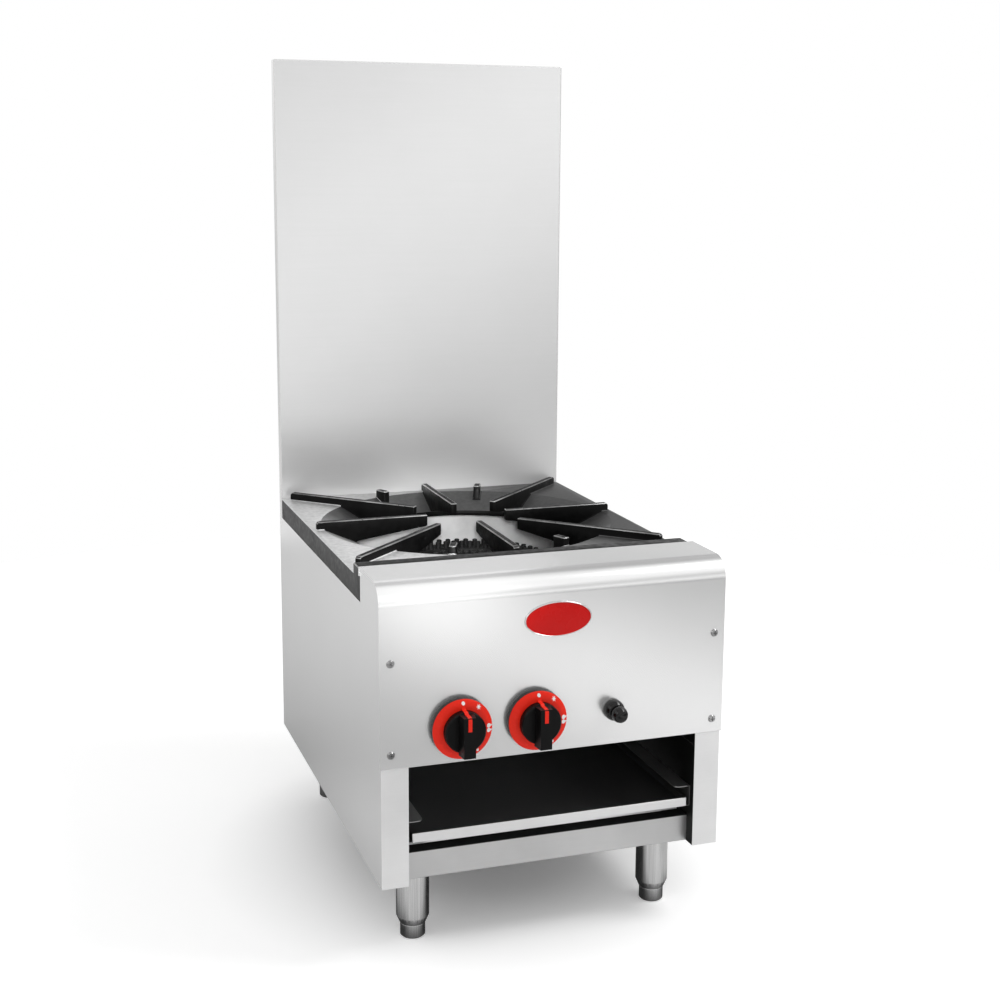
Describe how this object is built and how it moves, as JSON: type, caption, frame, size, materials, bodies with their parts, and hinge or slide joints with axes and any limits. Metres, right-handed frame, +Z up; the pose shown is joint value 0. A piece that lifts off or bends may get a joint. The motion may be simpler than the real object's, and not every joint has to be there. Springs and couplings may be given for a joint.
{
  "type": "single burner gas stove",
  "caption": "Free-standing stainless gas stockpot stove with a cast top grate, twin-ring burner, rotary valve knobs, push igniter, sliding drip tray and tall splashback.",
  "frame": {"origin": "floor level, under the middle of the bounding box", "axes": "+Z up, +X to the right seen from the front, front towards -Y"},
  "size_m": [0.4606, 0.6994, 1.139],
  "materials": {
    "panel_steel": "bright satin stainless sheet",
    "frame_steel": "mill finish stainless sheet",
    "tray_steel": "mill finish stainless sheet",
    "leg_steel": "turned and brushed",
    "foot_steel": "turned and brushed",
    "grate_iron": "black coated casting",
    "burner_iron": "raw casting",
    "valve_brass": "machined",
    "stem_steel": "zinc plated",
    "gas_pipe": "galvanised pipe",
    "dial_red": "satin moulded",
    "knob_black": "moulded",
    "igniter_black": "gloss moulded",
    "badge_red": "enamel",
    "electrode_white": "glazed ceramic",
    "lead_rubber": "silicone sleeve",
    "lead_copper": "drawn copper",
    "fastener_steel": "plated"
  },
  "bodies": {
    "cabinet": {"back_panel": "panel_steel", "badge_plate": "badge_red", "electrode_bracket": "frame_steel", "front_burner_bar": "frame_steel", "front_control_panel": "panel_steel", "front_left_leg": "leg_steel", "front_lower_rail": "frame_steel", "front_panel_screws": "fastener_steel", "front_right_leg": "leg_steel", "gas_elbow": "gas_pipe", "gas_inlet_locknut": "gas_pipe", "gas_inlet_pipe": "gas_pipe", "gas_manifold": "gas_pipe", "heat_baffle": "frame_steel", "igniter_body": "igniter_black", "igniter_nut": "igniter_black", "ignition_lead": "lead_rubber", "inner_burner": "burner_iron", "inner_thermocouple": "lead_copper", "left_dial_base": "knob_black", "left_gas_jet": "valve_brass", "left_gas_valve": "valve_brass", "left_side_panel": "panel_steel", "left_tray_runner": "frame_steel", "leg_plate_bolts": "fastener_steel", "leg_plates": "frame_steel", "manifold_brackets": "frame_steel", "outer_burner": "burner_iron", "outer_thermocouple": "lead_copper", "rear_burner_bar": "frame_steel", "rear_left_leg": "leg_steel", "rear_lower_rail": "frame_steel", "rear_right_leg": "leg_steel", "right_dial_base": "knob_black", "right_gas_jet": "valve_brass", "right_gas_valve": "valve_brass", "right_side_panel": "panel_steel", "right_tray_runner": "frame_steel", "spark_electrode": "electrode_white", "splashback": "panel_steel", "splashback_screws": "fastener_steel", "splashback_straps": "frame_steel", "thermocouple_bracket": "frame_steel"},
    "drip_tray": {"drip_tray": "tray_steel"},
    "top_grate": {"top_grate": "grate_iron"},
    "left_plunger": {"left_valve_plunger": "valve_brass"},
    "left_knob": {"left_dial": "dial_red", "left_knob_grip": "knob_black", "left_valve_stem": "stem_steel"},
    "right_plunger": {"right_valve_plunger": "valve_brass"},
    "right_knob": {"right_dial": "dial_red", "right_knob_grip": "knob_black", "right_valve_stem": "stem_steel"},
    "igniter_button": {"igniter_button": "igniter_black"},
    "outer_air_shutter": {"outer_air_shutter": "stem_steel"},
    "inner_air_shutter": {"inner_air_shutter": "stem_steel"},
    "front_left_foot": {"front_left_foot": "foot_steel"},
    "front_right_foot": {"front_right_foot": "foot_steel"},
    "rear_left_foot": {"rear_left_foot": "foot_steel"},
    "rear_right_foot": {"rear_right_foot": "foot_steel"}
  },
  "joints": [
    {"name": "drip_tray_slide", "type": "slide", "parent": "cabinet", "child": "drip_tray", "axis": [0, -1, 0], "range_m": [0, 0.42]},
    {"name": "grate_lift", "type": "slide", "parent": "cabinet", "child": "top_grate", "axis": [0, 0, 1], "range_m": [0, 0.12]},
    {"name": "igniter_press", "type": "slide", "parent": "cabinet", "child": "igniter_button", "axis": [0, 1, 0], "range_m": [0, 0.005], "stiffness_N_per_m": 1200, "springref_m": -0.004},
    {"name": "left_knob_push", "type": "slide", "parent": "cabinet", "child": "left_plunger", "axis": [0, 1, 0], "range_m": [0, 0.004], "stiffness_N_per_m": 2000, "springref_m": -0.004},
    {"name": "left_knob_turn", "type": "hinge", "parent": "left_plunger", "child": "left_knob", "pos_m": [-0.128, -0.3073, 0.304], "axis": [0, -1, 0], "range_deg": [0, 150]},
    {"name": "right_knob_push", "type": "slide", "parent": "cabinet", "child": "right_plunger", "axis": [0, 1, 0], "range_m": [0, 0.004], "stiffness_N_per_m": 2000, "springref_m": -0.004},
    {"name": "right_knob_turn", "type": "hinge", "parent": "right_plunger", "child": "right_knob", "pos_m": [-0.0295, -0.3073, 0.304], "axis": [0, -1, 0], "range_deg": [0, 150]},
    {"name": "outer_shutter_turn", "type": "hinge", "parent": "cabinet", "child": "outer_air_shutter", "pos_m": [-0.128, -0.2143, 0.332], "axis": [0, 1, 0], "range_deg": [0, 60]},
    {"name": "inner_shutter_turn", "type": "hinge", "parent": "cabinet", "child": "inner_air_shutter", "pos_m": [-0.0295, -0.2143, 0.332], "axis": [0, 1, 0], "range_deg": [0, 60]},
    {"name": "front_left_foot_adjust", "type": "slide", "parent": "cabinet", "child": "front_left_foot", "axis": [0, 0, -1], "range_m": [0, 0.025]},
    {"name": "front_right_foot_adjust", "type": "slide", "parent": "cabinet", "child": "front_right_foot", "axis": [0, 0, -1], "range_m": [0, 0.025]},
    {"name": "rear_left_foot_adjust", "type": "slide", "parent": "cabinet", "child": "rear_left_foot", "axis": [0, 0, -1], "range_m": [0, 0.025]},
    {"name": "rear_right_foot_adjust", "type": "slide", "parent": "cabinet", "child": "rear_right_foot", "axis": [0, 0, -1], "range_m": [0, 0.025]}
  ]
}
